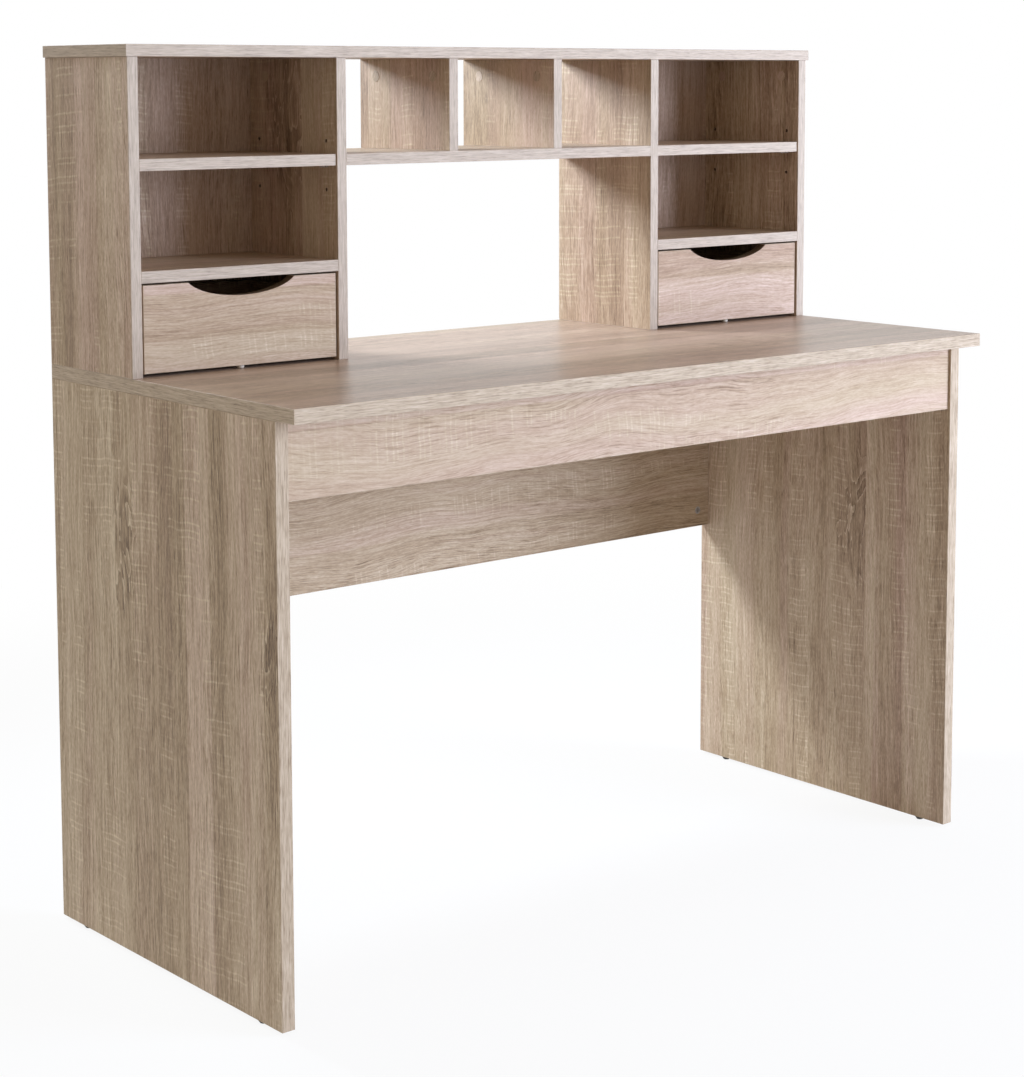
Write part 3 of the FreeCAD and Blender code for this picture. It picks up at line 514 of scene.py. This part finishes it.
class DESK_OT_finish_hutch(bpy.types.Operator):
    """Lays the oak laminate on the boards and back sheets of the hutch"""

    bl_idname = "desk.finish_hutch"
    bl_label = "Finish hutch boards"

    def execute(self, context):
        settings = context.scene.desk_laminate
        for name, recipe in HUTCH_BOARDS.items():
            look = HUTCH_LOOK
            if name.endswith("outer_side"):
                look = OUTER_SIDE_LOOK
            elif name.endswith("sheet"):
                look = BACK_SHEET_LOOK_AND_SHEEN
            dress(name, board_material(settings, name, recipe, band_highlight_share=HUTCH_BAND_HIGHLIGHT_SHARE, **look))
        dress("hutch_cam_covers", cover_material(settings))
        return {"FINISHED"}


class DESK_OT_finish_drawers(bpy.types.Operator):
    """Finishes the drawers' boards and bottom sheets"""

    bl_idname = "desk.finish_drawers"
    bl_label = "Finish drawers"

    def execute(self, context):
        settings = context.scene.desk_laminate
        for name, recipe in DRAWER_BOARDS.items():
            look = DRAWER_FRONT_LOOK if name.endswith("front") else {}
            dress(name, board_material(settings, name, recipe, **look))
        sheet = plain_material("painted fibreboard", linear(206, 200, 190), 0.5, 0.0, 0.08, 900, 0.1)
        for drawer in DRAWERS:
            dress(drawer + "_bottom", sheet)
        return {"FINISHED"}


class DESK_OT_finish_fittings(bpy.types.Operator):
    """Gives the feet, glides, cams, bolts, screws, nails, pins and dowels their metal, plastic and beech"""

    bl_idname = "desk.finish_fittings"
    bl_label = "Finish fittings"

    def execute(self, context):
        zinc = plain_material("cast zinc", linear(192, 193, 196), 0.45, 1.0, 0.2, 700, 0.3)
        steel = plain_material("bright steel", linear(205, 205, 208), 0.28, 1.0, 0.1, 1200, 0.1)
        black = plain_material("black plastic", linear(28, 27, 26), 0.5, 0.0, 0.3, 600, 0.2)
        pale = plain_material("off-white plastic", linear(206, 194, 176), 0.45, 0.0, 0.06, 600, 0.1)
        beech = plain_material("beech dowel", linear(206, 172, 130), 0.6, 0.0, 0.25, 260, 0.3)
        endings = {"foot": black, "glides": pale, "cam_locks": zinc, "cam_bolts": steel, "screws": steel,
                   "nails": steel, "pins": steel, "dowels": beech}
        for name in NODES:
            for ending, material in endings.items():
                if name.endswith(ending):
                    dress(name, material)
        return {"FINISHED"}


def soft_box(name, power, place, target, size, colour):
    """An area light that faces a point."""
    light = bpy.data.lights.new(name, "AREA")
    light.color = colour
    light.shape = "RECTANGLE"
    light.size, light.size_y = size
    light.energy = power
    lamp = bpy.data.objects.new(name, light)
    bpy.context.scene.collection.objects.link(lamp)
    aim = Vector([end - start for start, end in zip(place, target)])
    lamp.location = place
    lamp.rotation_euler = aim.to_track_quat("-Z", "Y").to_euler()
    return lamp


def seen_rays(tree):
    """1 for the rays that show the background: straight ones, mirrored ones and those through glass."""
    path = tree.node("ShaderNodeLightPath").link.node.outputs
    rays = [Socket(tree, path[name]) for name in ("Is Camera Ray", "Is Glossy Ray", "Is Transmission Ray")]
    return rays[0] | rays[1] | rays[2]


def add_floor():
    """A flat square of floor, a grid of two parameters at height 0. Near the desk it takes a little of the
    desk's shadow, and further out it fades to white."""
    lines = FLOOR_CELLS + 1
    ticks = np.linspace(-FLOOR_REACH, FLOOR_REACH, lines)
    rows, columns = np.meshgrid(ticks, ticks, indexing="ij")
    points = np.stack([rows.ravel(), columns.ravel(), np.zeros(rows.size)], axis=1)
    first = (np.arange(FLOOR_CELLS)[:, None] * lines + np.arange(FLOOR_CELLS)[None, :]).ravel()
    faces = np.stack([first, first + lines, first + lines + 1, first + 1], axis=1)
    mesh = bpy.data.meshes.new("floor")
    mesh.from_pydata(points.tolist(), [], faces.tolist())
    floor = bpy.data.objects.new("floor", mesh)
    bpy.context.scene.collection.objects.link(floor)
    material, tree = new_material("white floor")
    axes = object_axes(tree)
    distance = (axes[X] ** 2 + axes[Y] ** 2) ** 0.5
    matt = tree.node("ShaderNodeBsdfDiffuse", sockets={"Color": FLOOR_COLOUR})
    glow = tree.node("ShaderNodeEmission", sockets={"Color": WHITE, "Strength": 1.0})
    whiteness = 1 - FLOOR_SHADOW + FLOOR_SHADOW * tree.ease(distance, SHADOW_FADES_FROM, SHADOW_FADES_TO)
    shader = tree.node("ShaderNodeMixShader", sockets=(seen_rays(tree) * whiteness, matt, glow))
    tree.node("ShaderNodeOutputMaterial", sockets=(shader,))
    mesh.materials.append(material)


def add_room(strength):
    """White to look at, and an even light on the desk."""
    world = bpy.data.worlds.new("studio")
    world.use_nodes = True
    world.node_tree.nodes.clear()
    bpy.context.scene.world = world
    tree = Tree(world.node_tree)
    even = tree.node("ShaderNodeBackground", sockets=(ROOM_COLOUR, strength))
    white = tree.node("ShaderNodeBackground", sockets=(WHITE, 1.0))
    shader = tree.node("ShaderNodeMixShader", sockets=(seen_rays(tree), even, white))
    tree.node("ShaderNodeOutputWorld", sockets=(shader,))


def add_camera():
    """Stands to the left of the desk, a little above it, and looks slightly down."""
    camera = bpy.data.cameras.new("camera")
    camera.sensor_fit = "AUTO"
    camera.sensor_width = CAMERA_SENSOR
    camera.lens = CAMERA_LENS
    camera.shift_y = CAMERA_SHIFT
    eye = bpy.data.objects.new("camera", camera)
    bpy.context.scene.collection.objects.link(eye)
    heading = Matrix.Rotation(math.radians(CAMERA_HEADING), 3, "Z")
    dip = Matrix.Rotation(math.radians(90 - CAMERA_DIP), 3, "X")
    roll = Matrix.Rotation(math.radians(CAMERA_ROLL), 3, "Z")
    eye.matrix_world = Matrix.Translation(CAMERA_PLACE) @ (heading @ dip @ roll).to_4x4()
    bpy.context.scene.camera = eye


class DESK_OT_build_stage(bpy.types.Operator):
    """Adds the floor, the room, the two soft boxes and the camera"""

    bl_idname = "desk.build_stage"
    bl_label = "Build stage"

    def execute(self, context):
        settings = context.scene.desk_stage
        add_floor()
        add_room(settings.room_light)
        front = soft_box("front light", settings.front_light, **FRONT_BOX)
        front.visible_glossy = False
        back = soft_box("back light", settings.back_light, **BACK_BOX)
        back.data.spread = math.radians(BACK_SPREAD)
        add_camera()
        context.scene.view_settings.view_transform = "Standard"
        return {"FINISHED"}


class DESK_PT_panel(bpy.types.Panel):
    """Lists the steps that finish the desk"""

    bl_idname = "DESK_PT_panel"
    bl_label = "Student desk"
    bl_space_type = "VIEW_3D"
    bl_region_type = "UI"
    bl_category = "Desk"

    def draw(self, context):
        for settings in (context.scene.desk_laminate, context.scene.desk_stage):
            column = self.layout.column(align=True)
            for name in settings.bl_rna.properties.keys():
                if name not in ("name", "rna_type"):
                    column.prop(settings, name)
        column = self.layout.column(align=True)
        for operator in OPERATORS:
            column.operator(operator.bl_idname)


OPERATORS = (DESK_OT_finish_desk, DESK_OT_finish_hutch, DESK_OT_finish_drawers, DESK_OT_finish_fittings,
             DESK_OT_build_stage)
CLASSES = (DeskLaminateSettings, DeskStageSettings, *OPERATORS, DESK_PT_panel)


def register():
    for kind in CLASSES:
        bpy.utils.register_class(kind)
    bpy.types.Scene.desk_laminate = bpy.props.PointerProperty(type=DeskLaminateSettings)
    bpy.types.Scene.desk_stage = bpy.props.PointerProperty(type=DeskStageSettings)


def unregister():
    del bpy.types.Scene.desk_stage
    del bpy.types.Scene.desk_laminate
    for kind in reversed(CLASSES):
        bpy.utils.unregister_class(kind)


def main():
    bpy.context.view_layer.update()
    register()
    oak_print(bpy.context.scene.desk_laminate)
    for step in ("finish_desk", "finish_hutch", "finish_drawers", "finish_fittings", "build_stage"):
        getattr(bpy.ops.desk, step)()


if __name__ == "__main__":
    main()
